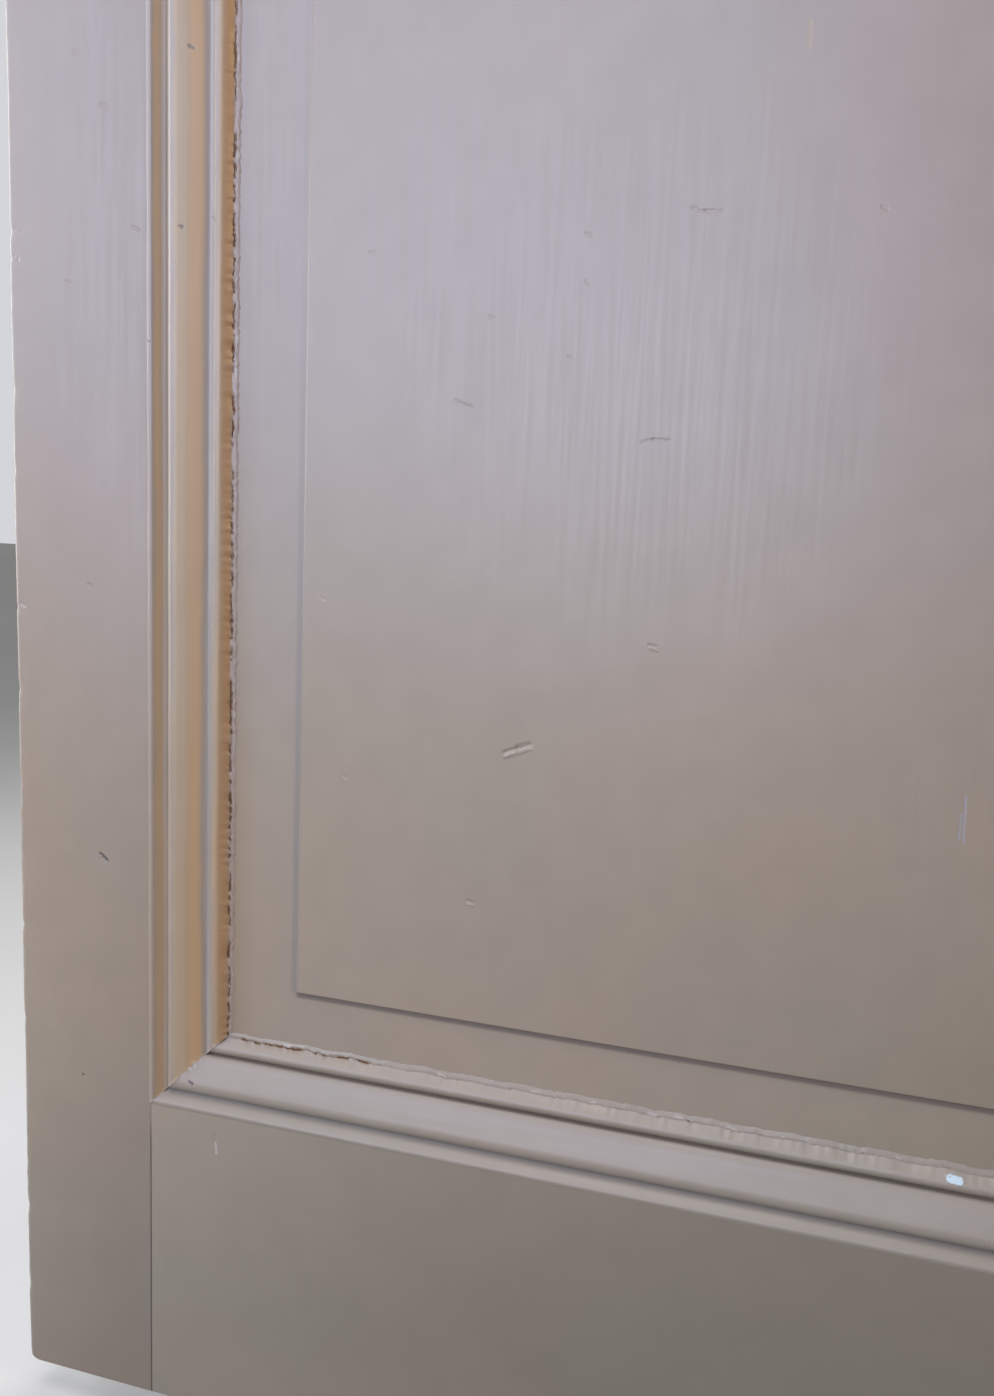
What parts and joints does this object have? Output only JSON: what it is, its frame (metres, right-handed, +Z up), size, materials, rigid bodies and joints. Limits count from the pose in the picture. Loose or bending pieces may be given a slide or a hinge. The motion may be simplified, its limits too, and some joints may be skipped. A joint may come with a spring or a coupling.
{
  "type": "panelled front door with frame",
  "caption": "Outward-opening painted timber door: fielded panels with mitred mouldings, butt hinges, lever mortice lock, rebated frame and threshold.",
  "frame": {"origin": "centre of the threshold's underside", "axes": "+Z up, +X right as seen from outside, -Y outdoors; the leaf stands open a quarter turn at rest"},
  "size_m": [0.976, 0.9957, 2.113],
  "materials": {
    "painted_wood": "semi-gloss taupe paint on timber, worn at the edges",
    "sill_wood": "oiled hardwood",
    "seal_rubber": "matt black",
    "satin_brass": "satin",
    "satin_steel": "satin",
    "zinc_steel": "zinc plated"
  },
  "bodies": {
    "frame": {"frame_head": "painted_wood", "frame_joint_screws": "satin_steel", "hinge_1_jamb_flap": "satin_steel", "hinge_1_pin": "satin_steel", "hinge_2_jamb_flap": "satin_steel", "hinge_2_pin": "satin_steel", "hinge_3_jamb_flap": "satin_steel", "hinge_3_pin": "satin_steel", "hinge_jamb": "painted_wood", "jamb_hinge_screws": "satin_steel", "lock_jamb": "painted_wood", "strike_plate": "satin_steel", "strike_screws": "satin_steel", "threshold": "sill_wood", "weather_seals": "seal_rubber"},
    "leaf": {"backplate_screws": "satin_steel", "bottom_rail": "painted_wood", "forend_screws": "satin_steel", "hinge_1_leaf_flap": "satin_steel", "hinge_2_leaf_flap": "satin_steel", "hinge_3_leaf_flap": "satin_steel", "hinge_stile": "painted_wood", "indoor_backplate": "satin_steel", "leaf_hinge_screws": "satin_steel", "lock_case": "zinc_steel", "lock_cylinder": "satin_brass", "lock_forend": "satin_steel", "lock_rail": "painted_wood", "lock_stile": "painted_wood", "lower_moulding_bottom_indoor": "painted_wood", "lower_moulding_bottom_outdoor": "painted_wood", "lower_moulding_hinge_side_indoor": "painted_wood", "lower_moulding_hinge_side_outdoor": "painted_wood", "lower_moulding_lock_side_indoor": "painted_wood", "lower_moulding_lock_side_outdoor": "painted_wood", "lower_moulding_top_indoor": "painted_wood", "lower_moulding_top_outdoor": "painted_wood", "lower_panel": "painted_wood", "outdoor_backplate": "satin_steel", "tenon_wedges": "painted_wood", "top_rail": "painted_wood", "upper_moulding_bottom_indoor": "painted_wood", "upper_moulding_bottom_outdoor": "painted_wood", "upper_moulding_hinge_side_indoor": "painted_wood", "upper_moulding_hinge_side_outdoor": "painted_wood", "upper_moulding_lock_side_indoor": "painted_wood", "upper_moulding_lock_side_outdoor": "painted_wood", "upper_moulding_top_indoor": "painted_wood", "upper_moulding_top_outdoor": "painted_wood", "upper_panel": "painted_wood"},
    "handle": {"outdoor_lever": "satin_steel", "indoor_lever": "satin_steel", "spindle": "zinc_steel", "follower": "zinc_steel"},
    "latch_body": {"latch": "zinc_steel"},
    "bolt_body": {"deadbolt": "zinc_steel"},
    "turn_body": {"thumbturn": "satin_brass", "cylinder_cam": "satin_brass"}
  },
  "joints": [
    {"name": "leaf_swing", "type": "hinge", "parent": "frame", "child": "leaf", "pos_m": [0.4415, -0.0547, 1.2], "axis": [0, 0, 1], "range_deg": [-90, 20]},
    {"name": "handle_turn", "type": "hinge", "parent": "leaf", "child": "handle", "pos_m": [0.4123, -0.8862, 1.137], "axis": [-1, 0, 0], "range_deg": [0, 45], "stiffness_Nm_per_rad": 1.2, "springref_deg": -34.38},
    {"name": "latch_slide", "type": "slide", "parent": "leaf", "child": "latch_body", "axis": [0, 1, 0], "range_m": [0, 0.012]},
    {"name": "thumbturn_turn", "type": "hinge", "parent": "leaf", "child": "turn_body", "pos_m": [0.4123, -0.8862, 1.065], "axis": [-1, 0, 0], "range_deg": [0, 360]},
    {"name": "bolt_slide", "type": "slide", "parent": "leaf", "child": "bolt_body", "axis": [0, -1, 0], "range_m": [0, 0.02]}
  ],
  "couplings": [
    {"joint": "latch_slide", "follows": "handle_turn", "m_per_rad": 0.015279},
    {"joint": "thumbturn_turn", "follows": "bolt_slide", "rad_per_m": 314.16}
  ]
}
